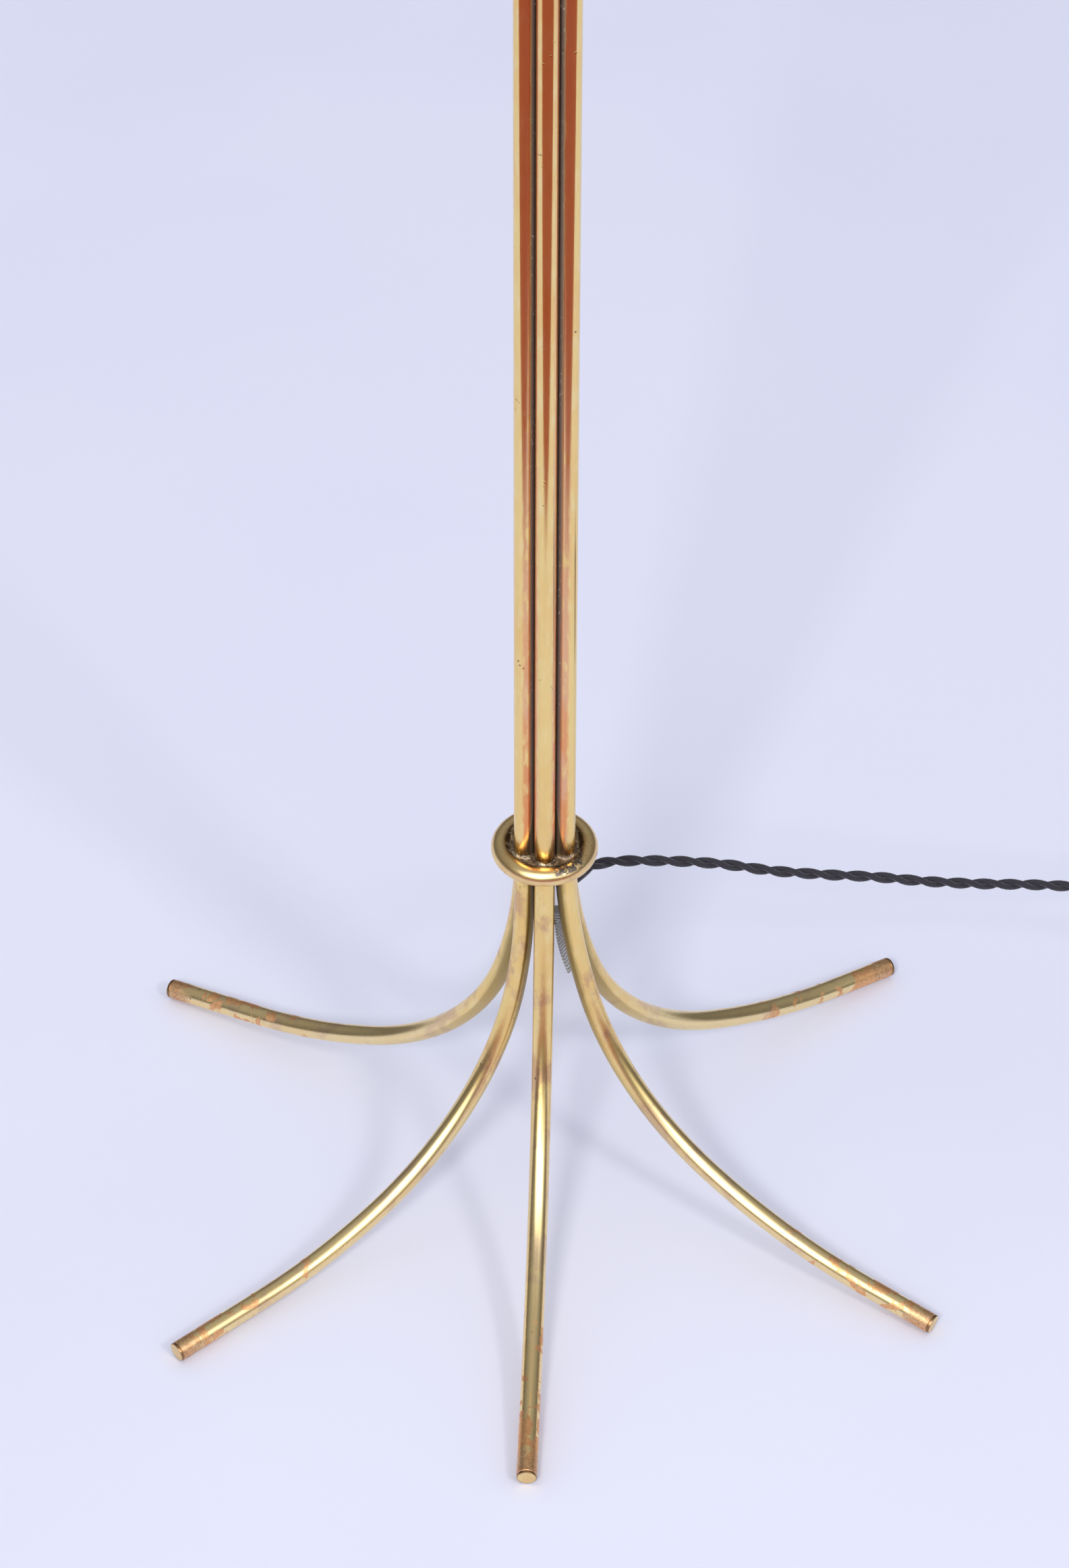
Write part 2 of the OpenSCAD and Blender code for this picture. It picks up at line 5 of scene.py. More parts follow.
import bmesh
import bpy
import numpy as np
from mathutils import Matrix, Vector


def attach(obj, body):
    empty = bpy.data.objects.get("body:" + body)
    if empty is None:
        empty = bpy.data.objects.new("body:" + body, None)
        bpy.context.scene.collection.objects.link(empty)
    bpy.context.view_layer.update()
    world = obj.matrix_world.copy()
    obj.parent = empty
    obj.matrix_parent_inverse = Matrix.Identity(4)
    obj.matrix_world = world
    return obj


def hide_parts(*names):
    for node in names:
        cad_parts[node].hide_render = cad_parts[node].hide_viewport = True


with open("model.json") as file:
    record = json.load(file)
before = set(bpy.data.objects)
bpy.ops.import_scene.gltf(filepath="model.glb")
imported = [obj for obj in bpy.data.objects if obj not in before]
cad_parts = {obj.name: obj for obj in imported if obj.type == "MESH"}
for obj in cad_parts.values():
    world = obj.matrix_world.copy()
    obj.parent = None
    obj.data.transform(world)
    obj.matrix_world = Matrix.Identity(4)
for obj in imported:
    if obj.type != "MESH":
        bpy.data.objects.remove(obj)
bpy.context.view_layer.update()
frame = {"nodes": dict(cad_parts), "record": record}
NODES = frame["nodes"]
MM = 0.001

# ------------------------------------------------------------------ camera
cam_data = bpy.data.cameras.new("camera")
cam = bpy.data.objects.new("camera", cam_data)
bpy.context.scene.collection.objects.link(cam)
cam.location = (-0.00900, -1.90504, 2.01983)
cam.rotation_euler = tuple(math.radians(a) for a in (47.2020, -0.0949, -0.0340))
cam_data.lens = 123.614
cam_data.sensor_fit = "VERTICAL"
cam_data.sensor_height = 36
cam_data.clip_end = 100
bpy.context.scene.camera = cam
bpy.context.scene.view_settings.view_transform = "Standard"

# ------------------------------------------------------------------ lamp's sizes, in millimetres
TUBE_R, BORE_R = 5.0, 4.0
BUNDLE_R = 11.45
STEM_TOP = 1300.0
LEGS = ["front", "front_right", "back_right", "back", "back_left", "front_left"]
# each foot is three bends in a row, by radius and angle, and a straight tail
BEND_R = [(290, 150, 250), (284, 153, 266), (291, 150, 290),
          (290, 150, 250), (274, 145, 241), (262, 145, 233)]
BEND_A = [(19, 45, 19), (18.7, 42.7, 21.2), (19.1, 46.4, 16.8),
          (19, 45, 19), (17.3, 47.4, 18.2), (11.2, 57, 18.9)]
TAILS = [41, 39.2, 36.4, 41, 53, 51.8]
TURNS = [-2.3, -2.8, 5.2, 0, 0.4, 8.6]    # of each foot about its own tube, in degrees
PLUG_T = 1.5            # thickness of the disc that closes a foot
EASE = 0.3              # how far a tube's ends are rounded off
BEND_STEP = 1.5         # degrees of bend from ring to ring
TUBE_SIDES = 56
RING_Z, RING_R, ROD_R = 214.4, 21.35, 4.8
UPPER_RING_Z = 1262.0


# ------------------------------------------------------------------ mesh helpers
def unit(v):
    return v / np.linalg.norm(v)


def grid(name, rings, along, closed, slot):
    """A skin through rings of points, in millimetres, capped at both ends unless it closes on itself.
    Face corners carry along, in metres, and angle, in turns round the ring."""
    rings = np.asarray(rings, float)
    m, n = rings.shape[:2]
    verts = (rings.reshape(-1, 3) * MM).tolist()
    faces, s_at, a_at = [], [], []
    for i in range(m if closed else m - 1):
        j = (i + 1) % m
        for k in range(n):
            q = (k + 1) % n
            faces.append((i * n + k, i * n + q, j * n + q, j * n + k))
            s_at += [along[i], along[i], along[j], along[j]]
            a_at += [k / n, (k + 1) / n, (k + 1) / n, k / n]
    if not closed:
        for ring, flip in ((0, True), (m - 1, False)):
            centre = len(verts)
            verts.append((rings[ring].mean(0) * MM).tolist())
            for k in range(n):
                q = (k + 1) % n
                a, b = (q, k) if flip else (k, q)
                faces.append((ring * n + a, ring * n + b, centre))
                s_at += [along[ring]] * 3
                a_at += [a / n, b / n, (k + 0.5) / n]
    mesh = bpy.data.meshes.new(name)
    mesh.from_pydata(verts, [], faces)
    mesh.attributes.new("along", "FLOAT", "CORNER").data.foreach_set("value", s_at)
    mesh.attributes.new("angle", "FLOAT", "CORNER").data.foreach_set("value", a_at)
    mesh.shade_smooth()
    mesh.set_sharp_from_angle(angle=math.radians(38))
    mesh.update()
    obj = bpy.data.objects.new(name, mesh)
    bpy.context.scene.collection.objects.link(obj)
    dress(obj, slot)
    return obj


def outward(obj):
    """Turns the faces outwards where the skin was laid the other way round."""
    b = bmesh.new()
    b.from_mesh(obj.data)
    bmesh.ops.recalc_face_normals(b, faces=b.faces)
    b.to_mesh(obj.data)
    b.free()
    return obj


def place(obj, instead_of):
    """Makes a piece part of the lamp's body, in the stead of CAD nodes."""
    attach(obj, "lamp")
    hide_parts(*instead_of)


def circle(centre, u, v, ru, rv, n):
    """n points round an ellipse, ru along u and rv along v."""
    a = np.linspace(0, 2 * math.pi, n, endpoint=False)
    return centre + np.outer(np.cos(a) * ru, u) + np.outer(np.sin(a) * rv, v)


def lathe(name, profile, n, slot):
    """A closed profile of [radius, height] turned about the lamp's axis."""
    across, depth = np.array([1.0, 0, 0]), np.array([0, 1.0, 0])
    rings = [circle(np.array([0, 0, z]), across, depth, r, r, n) for r, z in profile]
    s = [0.0]
    for a, b in zip(profile, profile[1:]):
        s.append(s[-1] + math.dist(a, b) * MM)
    return outward(grid(name, rings, s, True, slot))


def carried_frames(points):
    """The direction along a path at each point, and two across it that don't twist."""
    t = np.gradient(points, axis=0)
    t /= np.linalg.norm(t, axis=1)[:, None]
    u = unit(np.cross(t[0], [1, 0, 0] if abs(t[0][2]) > 0.9 else [0, 0, 1]))
    us = [u]
    for k in range(1, len(points)):
        u = unit(us[-1] - t[k] * np.dot(us[-1], t[k]))
        us.append(u)
    us = np.array(us)
    return t, us, np.cross(t, us)


def evenly(points, step):
    """The same path in equal steps, and the length along it at each point."""
    seg = np.linalg.norm(np.diff(points, axis=0), axis=1)
    s = np.r_[0, np.cumsum(seg)]
    at = np.linspace(0, s[-1], max(2, int(s[-1] / step) + 1))
    return np.stack([np.interp(at, s, points[:, k]) for k in range(3)], 1), at


def smooth_curve(points, steps):
    """A Catmull-Rom curve through the points."""
    p = [np.array(q, float) for q in points]
    n = len(p)
    out = []
    for i in range(n - 1):
        a, b, c, d = p[max(i - 1, 0)], p[i], p[i + 1], p[min(i + 2, n - 1)]
        for k in range(steps):
            t = k / steps
            out.append(0.5 * (2 * b + (c - a) * t + (2 * a - 5 * b + 4 * c - d) * t * t
                              + (3 * b - a - 3 * c + d) * t ** 3))
    return np.array(out + [p[-1]])


# ------------------------------------------------------------------ node helpers
class Mat:
    """A material's node tree, with short names for the nodes it is made from."""

    def __init__(self, name):
        self.mat = bpy.data.materials.new(name)
        self.mat.use_nodes = True
        self.tree = self.mat.node_tree
        self.tree.nodes.clear()
        self.obj = self.add("TexCoord").outputs["Object"]

    def add(self, kind, ins=None, **props):
        n = self.tree.nodes.new("ShaderNode" + kind)
        for k, v in props.items():
            setattr(n, k, v)
        for k, v in (ins or {}).items():
            self.put(n.inputs[k], v)
        return n

    def put(self, socket, v):
        if isinstance(v, bpy.types.NodeSocket):
            self.tree.links.new(v, socket)
        else:
            socket.default_value = v

    def calc(self, op, a, b=None):
        n = self.add("Math", operation=op)
        for s, v in zip(n.inputs, (a, b)):
            if v is not None:
                self.put(s, v)
        return n.outputs[0]

    def times(self, a, b):
        return self.calc("MULTIPLY", a, b)

    def plus(self, a, b):
        return self.calc("ADD", a, b)

    def minus(self, a, b):
        return self.calc("SUBTRACT", a, b)

    def most(self, a, b):
        return self.calc("MAXIMUM", a, b)

    def step(self, x, lo, hi):
        """0 at lo to 1 at hi, smoothly; lo may be the larger."""
        a, b, out = (lo, hi, (0.0, 1.0)) if lo < hi else (hi, lo, (1.0, 0.0))
        n = self.add("MapRange", {0: x, 1: a, 2: b, 3: out[0], 4: out[1]}, interpolation_type="SMOOTHSTEP")
        return n.outputs[0]

    def scaled(self, v, s):
        return self.add("VectorMath", {0: v, 1: s}, operation="MULTIPLY").outputs[0]

    def noise(self, v, scale, detail=3.0, rough=0.55, warp=0.0):
        return self.add("TexNoise", {"Vector": v, "Scale": scale, "Detail": detail, "Roughness": rough,
                                     "Distortion": warp}).outputs[0]

    def cells(self, v, scale):
        return self.add("TexVoronoi", {"Vector": v, "Scale": scale}).outputs[0]

    def mix(self, f, a, b):
        """Colour a where f is 0, colour b where f is 1."""
        n = self.add("Mix", data_type="RGBA")
        for i, v in ((0, f), (6, a), (7, b)):
            self.put(n.inputs[i], v if isinstance(v, (bpy.types.NodeSocket, float)) else (*v, 1))
        return n.outputs[2]

    def ramp(self, f, *stops):
        n = self.add("ValToRGB", {0: f})
        e = n.color_ramp.elements
        while len(e) < len(stops):
            e.new(0.5)
        for q, (at, col) in zip(e, stops):
            q.position = at
            q.color = (*col, 1)
        return n.outputs[0]

    def range(self, f, a, b):
        """f from 0 to 1 made a value from a to b."""
        return self.add("MapRange", {0: f, 1: 0.0, 2: 1.0, 3: a, 4: b}).outputs[0]

    def attr(self, name):
        return self.add("Attribute", attribute_name=name, attribute_type="GEOMETRY").outputs["Fac"]

    def turn(self):
        """Cosine and sine of the way round a tube: 1 and 0 on the side that faces outwards."""
        a = self.times(self.attr("angle"), 2 * math.pi)
        return self.calc("COSINE", a), self.calc("SINE", a)

    def combine(self, x, y, z):
        return self.add("CombineXYZ", {0: x, 1: y, 2: z}).outputs[0]

    def split(self, v):
        return self.add("SeparateXYZ", {0: v}).outputs

    def bump(self, h, strength, distance, normal=None):
        ins = {"Height": h, "Strength": strength, "Distance": distance}
        if normal is not None:
            ins["Normal"] = normal
        return self.add("Bump", ins).outputs[0]

    def finish(self, **ins):
        """Closes the tree with a principled surface whose inputs are given by name, _ for a blank."""
        p = self.add("BsdfPrincipled", {k.replace("_", " "): v for k, v in ins.items()})
        out = self.add("OutputMaterial")
        self.tree.links.new(p.outputs[0], out.inputs[0])
        return self.mat


def dress(obj, slot):
    """Gives a mesh its slot's material."""
    obj.data.materials.clear()
    obj.data.materials.append(MATS[slot])


# ------------------------------------------------------------------ materials
CLEAN = (0.95, 0.715, 0.285)
WARM = (0.93, 0.635, 0.235)
PALE = (0.97, 0.79, 0.40)
PINK = (0.86, 0.47, 0.27)
ORANGE = (0.86, 0.36, 0.14)
# brown for the tubes' crevices: flux film plus painted shade
CREVICE_BROWN = (0.23, 0.165, 0.145)


def tube_brass():
    """Old drawn tube: clean on the outside, coppery flanks, flux-brown grooves deepened with painted shade,
    painted olive shade where the legs face each other, stained foot ends.
    """
    b = Mat("brass_tube")
    along = b.attr("along")
    c, s = b.turn()
    x, y, z = b.split(b.obj)
    around, across = b.times(c, TUBE_R * MM), b.times(s, TUBE_R * MM)
    skin = b.combine(around, across, b.times(along, 0.06))
    blot = b.noise(b.combine(around, across, b.times(along, 0.30)), 240, 3)
    speck = b.noise(b.obj, 900, 2, 0.6)
    cloud = b.noise(b.obj, 22, 3, 0.6)
    streak = b.noise(skin, 1500, 4, 0.65)
    wobble = b.times(b.minus(blot, 0.5), 0.55)

    col = b.mix(b.step(cloud, 0.35, 0.68), CLEAN, WARM)
    col = b.mix(b.times(b.step(blot, 0.50, 0.72), 0.55), col, PALE)
    col = b.mix(b.times(b.step(streak, 0.50, 0.80), 0.35), col, (0.78, 0.50, 0.24))

    # brown blotches below the ring, and paler metal near the floor
    stain_n = b.noise(b.scaled(b.obj, (1, 1, 0.7)), 62, 4, 0.6)
    stain = b.times(b.step(stain_n, 0.51, 0.63), b.step(z, 0.26, 0.17))
    col = b.mix(b.times(stain, 0.70), col, (0.64, 0.38, 0.22))
    col = b.mix(b.times(b.step(z, 0.11, 0.04), 0.45), col, (0.94, 0.81, 0.52))

    # copper-pink flanks on the bundled part, strongest just above the ring
    cw = b.plus(c, wobble)
    low = b.step(z, 0.62, 0.24)
    stem = b.step(z, 0.196, 0.226)
    flank = b.times(b.step(cw, 0.82, 0.58), stem)
    reach = b.plus(b.times(low, 0.50), 0.45)
    pink = b.times(b.times(flank, reach), b.step(blot, 0.28, 0.48))
    hot_n = b.noise(b.scaled(b.obj, (1, 1, 0.3)), 130, 3, 0.5)
    hot = b.times(b.step(hot_n, 0.44, 0.60), b.step(z, 0.45, 0.23))
    col = b.mix(pink, col, b.mix(hot, PINK, ORANGE))
    # painted olive shade, a dark reflection, on the sides that face each other below the ring
    spread = b.times(b.step(z, 0.085, 0.150), b.step(z, 0.214, 0.206))
    facing_sides_shade = b.times(b.step(cw, 0.60, 0.18), spread)
    col = b.mix(b.times(facing_sides_shade, 0.70), col, (0.40, 0.30, 0.11))
    # brown flux film where neighbouring tubes meet, darkened further as painted shade in these crevices and,
    # low down, on the feet's undersides
    reach_down = b.plus(b.times(b.step(z, 0.150, 0.215), 0.35), b.times(b.step(z, 0.015, 0.120), 0.65))
    side = b.plus(c, b.times(wobble, 0.5))
    groove_film_and_shade = b.times(b.step(side, 0.20, -0.10), reach_down)
    white_n = b.noise(b.scaled(b.obj, (1, 1, 0.35)), 900, 2, 0.5)
    white = b.times(b.step(white_n, 0.66, 0.71), b.step(z, 0.22, 0.4))
    film_and_shade_colour = b.mix(b.step(z, 0.16, 0.23), (0.22, 0.16, 0.06), b.mix(white, CREVICE_BROWN, (0.75, 0.66, 0.55)))
    col = b.mix(b.times(groove_film_and_shade, 0.90), col, film_and_shade_colour)
    # flux that climbed from the ring, higher in the grooves
    climb = b.times(b.calc("POWER", b.most(b.minus(1.0, c), 0.0), 2.0), 0.016)
    edge = b.plus(b.minus(b.minus(z, 0.2178), climb), b.times(wobble, 0.006))
    above = b.step(z, 0.208, 0.212)
    flux = b.times(b.step(edge, 0.0022, -0.0006), above)
    rim = b.times(b.step(edge, 0.0070, 0.0015), above)
    col = b.mix(b.times(rim, 0.45), col, (0.74, 0.52, 0.27))
    col = b.mix(b.times(flux, 0.94), col, (0.17, 0.12, 0.07))
    # heat and flux stains at the foot ends
    patch_n = b.noise(b.scaled(b.obj, (1.0, 1.0, 0.8)), 95, 3, 0.5, 0.6)
    near = b.step(along, 0.085, 0.022)
    patch = b.step(b.plus(patch_n, b.times(near, 0.12)), 0.595, 0.625)
    patch = b.times(patch, b.step(along, 0.105, 0.075))
    copper = b.mix(b.step(speck, 0.4, 0.6), (0.86, 0.48, 0.22), (0.74, 0.34, 0.16))
    col = b.mix(b.times(patch, 0.85), col, copper)
    zone = b.step(b.plus(along, b.times(wobble, 0.010)), 0.0165, 0.0115)
    zone = b.times(zone, b.step(blot, 0.34, 0.50))
    burnt = b.mix(b.step(speck, 0.35, 0.65), (0.78, 0.50, 0.28), (0.55, 0.31, 0.16))
    col = b.mix(b.times(zone, 0.80), col, burnt)
    # brown scratches just below the ring, pits and specks anywhere
    scratch_n = b.noise(b.combine(b.times(x, 3.0), b.times(y, 3.0), b.times(z, 0.25)), 800, 3, 0.7)
    below = b.times(b.step(z, 0.178, 0.200), b.step(z, 0.213, 0.206))
    scratch = b.times(b.times(b.step(scratch_n, 0.56, 0.64), below), b.step(x, 0.002, -0.004))
    col = b.mix(b.times(scratch, 0.7), col, (0.20, 0.12, 0.06))
    pit = b.times(b.step(b.cells(b.obj, 260), 0.20, 0.10), b.step(b.noise(b.obj, 46, 2), 0.60, 0.68))
    col = b.mix(b.times(pit, 0.75), col, (0.13, 0.08, 0.045))

    # dirt, and the painted shade in the grooves, make the metal rougher
    dirt_and_shade = b.most(b.most(groove_film_and_shade, flux), b.most(patch, zone))
    worn = b.plus(b.range(streak, 0.0, 0.09), b.times(b.step(z, 0.34, 0.14), 0.135))
    rough = b.plus(b.plus(worn, 0.085), b.times(dirt_and_shade, 0.20))
    rough = b.plus(rough, b.times(pink, 0.10))
    fine = b.bump(streak, 0.05, 0.00008)
    soft = b.bump(b.noise(b.obj, 26, 1, 0.4), 0.07, 0.0008, fine)
    deep = b.bump(b.plus(pit, b.times(flux, speck)), 0.5, -0.00015, soft)
    bare = b.minus(1.0, b.times(groove_film_and_shade, 0.8))
    return b.finish(Base_Color=col, Metallic=bare, Roughness=rough, Normal=deep)


def plain_brass(name, base, shade, rough, lathe_marks=0.0, satin=0.0):
    """Brass away from the flame: turned, pressed or drawn, slightly dulled."""
    b = Mat(name)
    x, y, z = b.split(b.obj)
    cloud = b.noise(b.obj, 60, 3, 0.6)
    fine = b.noise(b.obj, 1400, 3, 0.6)
    radius = b.calc("SQRT", b.plus(b.times(x, x), b.times(y, y)))
    turned = b.noise(b.combine(radius, z, 0.37), 2600, 3, 0.6)
    spot = b.times(b.step(b.cells(b.obj, 420), 0.22, 0.08), b.step(cloud, 0.5, 0.62))
    col = b.mix(b.step(cloud, 0.36, 0.66), base, shade)
    darker = tuple(q * 0.82 for q in shade)
    col = b.mix(b.times(b.step(turned, 0.45, 0.75), 0.30 + lathe_marks * 0.2), col, darker)
    col = b.mix(b.times(spot, 0.6), col, (0.22, 0.13, 0.06))
    r = b.plus(b.range(cloud, rough, rough + 0.10), b.times(fine, 0.08 + satin))
    n = b.bump(turned, 0.12 + lathe_marks, 0.00008)
    n = b.bump(fine, 0.08 + satin, 0.00006, n)
    return b.finish(Base_Color=col, Metallic=1.0, Roughness=r, Normal=n)


def cap_brass():
    """Satin disc soldered into a foot's end, with a dark seam."""
    b = Mat("brass_cap")
    cloud = b.noise(b.obj, 240, 3, 0.6)
    fine = b.noise(b.obj, 3000, 3, 0.65)
    r = b.attr("along")
    col = b.mix(b.step(cloud, 0.35, 0.65), (0.88, 0.68, 0.33), (0.80, 0.58, 0.28))
    col = b.mix(b.times(b.step(fine, 0.5, 0.7), 0.35), col, (0.55, 0.36, 0.17))
    col = b.mix(b.step(r, 0.00440, 0.00475), col, (0.34, 0.20, 0.10))
    n = b.bump(fine, 0.22, 0.0001)
    return b.finish(Base_Color=col, Metallic=1.0, Roughness=b.range(fine, 0.26, 0.44), Normal=n)


def ring_brass():
    """Polished rod ring: soft wear, a grey scuff on the right, orange flecks, and dark residue inside
    deepened with painted shade.
    """
    b = Mat("brass_ring")
    x, y = b.split(b.obj)[:2]
    c, s = b.turn()
    cloud = b.noise(b.obj, 75, 3, 0.6)
    fine = b.noise(b.obj, 1500, 3, 0.6)
    blot = b.noise(b.obj, 330, 3, 0.6, 0.4)
    col = b.mix(b.step(cloud, 0.34, 0.66), (0.93, 0.70, 0.34), (0.86, 0.60, 0.28))
    inner = b.times(b.step(c, 0.10, -0.55), b.step(blot, 0.28, 0.50))
    col = b.mix(b.times(inner, 0.72), col, (0.44, 0.29, 0.16))
    fleck = b.times(b.step(b.noise(b.obj, 620, 2, 0.5), 0.64, 0.68), b.step(c, 0.75, 0.10))
    col = b.mix(b.times(fleck, 0.60), col, (0.66, 0.36, 0.15))
    # painted shade, near black, where the rod's inside faces the tubes, over brown residue
    inner_shade_and_residue = b.step(b.plus(c, b.times(b.minus(blot, 0.5), 0.8)), -0.30, -0.62)
    col = b.mix(b.times(inner_shade_and_residue, 0.85), col, (0.07, 0.045, 0.025))
    # a grey rubbed scuff on the front right of its upper side
    right = b.times(b.step(x, 0.0030, 0.0060), b.step(x, 0.0200, 0.0175))
    there = b.times(right, b.step(y, -0.004, -0.008))
    band = b.times(b.step(c, 0.88, 0.74), b.step(c, -0.60, -0.35))
    upper = b.step(s, 0.1, 0.3)
    ragged = b.step(b.noise(b.obj, 420, 4, 0.65), 0.44, 0.46)
    scuff = b.times(b.times(there, band), b.times(upper, ragged))
    col = b.mix(b.times(scuff, 0.92), col, (0.085, 0.083, 0.09))
    pit = b.times(b.step(b.cells(b.obj, 520), 0.20, 0.08), b.step(cloud, 0.52, 0.60))
    col = b.mix(b.times(pit, 0.8), col, (0.12, 0.07, 0.04))
    rough = b.plus(b.range(cloud, 0.23, 0.35), b.times(b.most(inner, scuff), 0.16))
    n = b.bump(fine, 0.10, 0.0001)
    n = b.bump(b.noise(b.obj, 190, 2, 0.5), 0.25, 0.0003, n)
    n = b.bump(b.plus(scuff, pit), 0.4, -0.0001, n)
    return b.finish(Base_Color=col, Metallic=1.0, Roughness=rough, Normal=n)


def solder():
    """Glossy brown flux over hard solder, with pale crusts and painted glints."""
    b = Mat("hard_solder")
    x = b.split(b.obj)[0]
    lump = b.noise(b.obj, 420, 4, 0.6, 0.5)
    fine = b.noise(b.obj, 1900, 3, 0.6)
    col = b.ramp(lump, (0.30, (0.075, 0.050, 0.030)), (0.50, (0.21, 0.14, 0.075)), (0.66, (0.42, 0.31, 0.17)))
    crust = b.times(b.step(b.noise(b.obj, 760, 3, 0.6), 0.58, 0.66), b.step(x, 0.004, -0.008))
    col = b.mix(b.times(crust, 0.8), col, (0.42, 0.45, 0.36))
    # painted glints: small whitish highlights in the colour
    glint = b.step(b.noise(b.obj, 900, 1, 0.5), 0.66, 0.70)
    col = b.mix(b.times(glint, 0.7), col, (0.80, 0.74, 0.62))
    rough = b.plus(b.range(lump, 0.18, 0.42), b.times(crust, 0.3))
    n = b.bump(lump, 0.7, 0.0006)
    n = b.bump(fine, 0.3, 0.0002, n)
    return b.finish(Base_Color=col, Metallic=b.range(lump, 0.25, 0.75), Roughness=rough, Normal=n,
                    Coat_Weight=0.5, Coat_Roughness=0.12)


def rubber():
    """Matte moulded rubber with a fine grain."""
    b = Mat("black_rubber")
    base = (0.018, 0.018, 0.020)
    cloud = b.noise(b.obj, 120, 3)
    fine = b.noise(b.obj, 2600, 3, 0.7)
    col = b.mix(b.step(cloud, 0.35, 0.65), base, tuple(q * 1.9 for q in base))
    col = b.mix(b.times(b.step(fine, 0.62, 0.75), 0.4), col, (0.09, 0.09, 0.095))
    return b.finish(Base_Color=col, Roughness=b.range(fine, 0.42, 0.62), Normal=b.bump(fine, 0.25, 0.0001))


def nylon():
    """Milky clear strap with fine teeth across it, painted dark between the teeth as shade."""
    b = Mat("clear_nylon")
    cloud = b.noise(b.obj, 320, 3)
    fine = b.noise(b.obj, 2200, 3, 0.6)
    col = b.mix(b.step(cloud, 0.35, 0.65), (0.95, 0.95, 0.92), (0.82, 0.82, 0.80))
    z = b.split(b.obj)[2]
    ridge = b.plus(b.times(b.calc("SINE", b.times(z, 2 * math.pi / 0.0019)), 0.5), 0.5)
    # painted shade in the hollows between the teeth
    col = b.mix(b.step(ridge, 0.35, 0.10), col, (0.30, 0.30, 0.30))
    n = b.bump(b.times(ridge, b.step(z, 0.164, 0.162)), 0.8, 0.0004, b.bump(fine, 0.15, 0.00008))
    return b.finish(Base_Color=col, Roughness=b.range(cloud, 0.12, 0.26), Transmission_Weight=0.45, IOR=1.53,
                    Normal=n, Subsurface_Weight=0.2, Subsurface_Scale=0.002)


def flex_cloth():
    """Charcoal braid over a strand: crossed yarns, each lifted over the next, painted darker where they dip
    as shade.
    """
    b = Mat("fabric_flex")
    along = b.attr("along")
    ang = b.attr("angle")
    turns = b.times(ang, 2 * math.pi * 7)
    run = b.times(along, 2 * math.pi / 0.0011)
    one = b.calc("SINE", b.plus(turns, run))
    two = b.calc("SINE", b.minus(turns, run))
    weave = b.times(one, two)
    knit = b.plus(b.times(weave, 0.5), 0.5)
    cloud = b.noise(b.obj, 160, 3)
    fuzz = b.noise(b.obj, 3800, 3, 0.7)
    # yarn tone and painted shade: darker where the weave dips
    col = b.mix(knit, (0.010, 0.009, 0.013), (0.040, 0.036, 0.050))
    col = b.mix(b.times(b.step(fuzz, 0.50, 0.78), 0.6), col, (0.085, 0.078, 0.100))
    col = b.mix(b.times(b.step(cloud, 0.5, 0.75), 0.35), col, (0.030, 0.024, 0.026))
    n = b.bump(knit, 0.7, 0.00018)
    n = b.bump(fuzz, 0.35, 0.00010, n)
    return b.finish(Base_Color=col, Roughness=b.range(fuzz, 0.62, 0.85), Normal=n, Sheen_Weight=0.35,
                    Sheen_Roughness=0.4, Specular_IOR_Level=0.35)


def linen():
    """Natural linen on card: uneven warp and weft with slubs, painted darker where the weave dips as shade.
    """
    b = Mat("shade_cloth")
    along = b.attr("along")
    ang = b.attr("angle")
    run_a = b.times(ang, 2 * math.pi * 1150)
    run_b = b.times(along, 2 * math.pi / 0.00105)
    drift = b.times(b.noise(b.obj, 55, 3), 5.0)
    warp = b.calc("SINE", b.plus(run_a, drift))
    weft = b.calc("SINE", b.plus(run_b, drift))
    weave = b.plus(b.times(b.times(warp, weft), 0.5), 0.5)
    slub_h = b.noise(b.combine(b.times(ang, 0.35), along, 0.0), 900, 3, 0.6)
    slub_v = b.noise(b.combine(b.times(ang, 30.0), b.times(along, 0.05), 3.0), 40, 3, 0.6)
    cloud = b.noise(b.obj, 9, 3)
    # yarn tone and painted shade: darker where the weave dips
    col = b.mix(weave, (0.62, 0.55, 0.42), (0.86, 0.80, 0.67))
    col = b.mix(b.times(b.step(slub_h, 0.52, 0.72), 0.5), col, (0.56, 0.48, 0.35))
    col = b.mix(b.times(b.step(slub_v, 0.55, 0.72), 0.4), col, (0.90, 0.85, 0.74))
    col = b.mix(b.times(b.step(cloud, 0.45, 0.75), 0.25), col, (0.80, 0.72, 0.57))
    n = b.bump(weave, 0.5, 0.0003)
    n = b.bump(b.plus(slub_h, slub_v), 0.35, 0.0004, n)
    return b.finish(Base_Color=col, Roughness=b.range(weave, 0.78, 0.92), Normal=n, Sheen_Weight=0.15,
                    Subsurface_Weight=0.08, Subsurface_Scale=0.002)


def metal(name, base, shade, rough, brushed=0.15):
    """Plain metal with fine drawn lines along Z."""
    b = Mat(name)
    cloud = b.noise(b.obj, 150, 3)
    line = b.noise(b.scaled(b.obj, (1, 1, 0.12)), 2400, 3, 0.6)
    col = b.mix(b.step(cloud, 0.35, 0.65), base, shade)
    col = b.mix(b.times(b.step(line, 0.5, 0.75), 0.4), col, tuple(q * 0.7 for q in shade))
    r = b.plus(b.range(cloud, rough, rough + 0.1), b.times(line, 0.08))
    return b.finish(Base_Color=col, Metallic=1.0, Roughness=r, Normal=b.bump(line, brushed, 0.00008))


